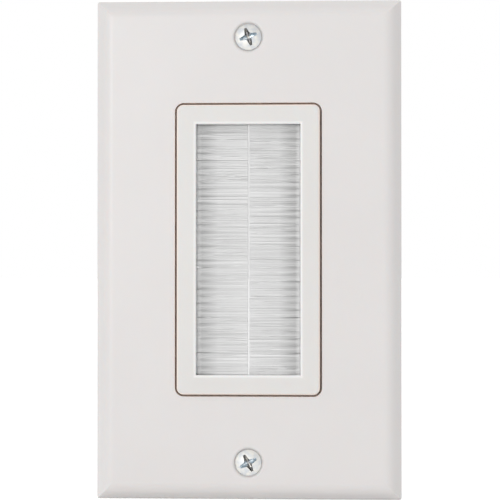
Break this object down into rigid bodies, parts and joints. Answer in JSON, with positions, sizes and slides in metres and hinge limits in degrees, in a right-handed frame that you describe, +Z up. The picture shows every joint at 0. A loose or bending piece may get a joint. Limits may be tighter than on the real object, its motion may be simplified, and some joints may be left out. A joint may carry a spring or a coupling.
{
  "type": "brush cable grommet",
  "caption": "White wall plate with a decorator-size insert whose facing strip brushes let cables pass through the wall.",
  "frame": {"origin": "on the wall plane, midway between the two screws that hold the insert to the wall box", "axes": "+X to the right as seen from the room, +Y into the wall, +Z up along the plate's height"},
  "size_m": [0.0698, 0.0256, 0.1142],
  "materials": {
    "plate_plastic": "satin white moulding",
    "insert_plastic": "satin white moulding",
    "retainer_plastic": "plain white moulding",
    "channel_steel": "galvanised sheet",
    "wire_steel": "drawn wire",
    "bristle_nylon": "fine pale nylon filaments",
    "screw_steel": "bright zinc plate",
    "keeper_fibre": "vulcanised fibre"
  },
  "bodies": {
    "root": {"wall_plate": "plate_plastic", "brush_insert": "insert_plastic", "rear_retainer": "retainer_plastic", "left_brush_channel": "channel_steel", "right_brush_channel": "channel_steel", "left_core_wire": "wire_steel", "right_core_wire": "wire_steel", "left_bristles": "bristle_nylon", "right_bristles": "bristle_nylon", "upper_plate_screw": "screw_steel", "lower_plate_screw": "screw_steel", "upper_box_screw": "screw_steel", "lower_box_screw": "screw_steel", "upper_screw_keeper": "keeper_fibre", "lower_screw_keeper": "keeper_fibre"}
  },
  "joints": []
}
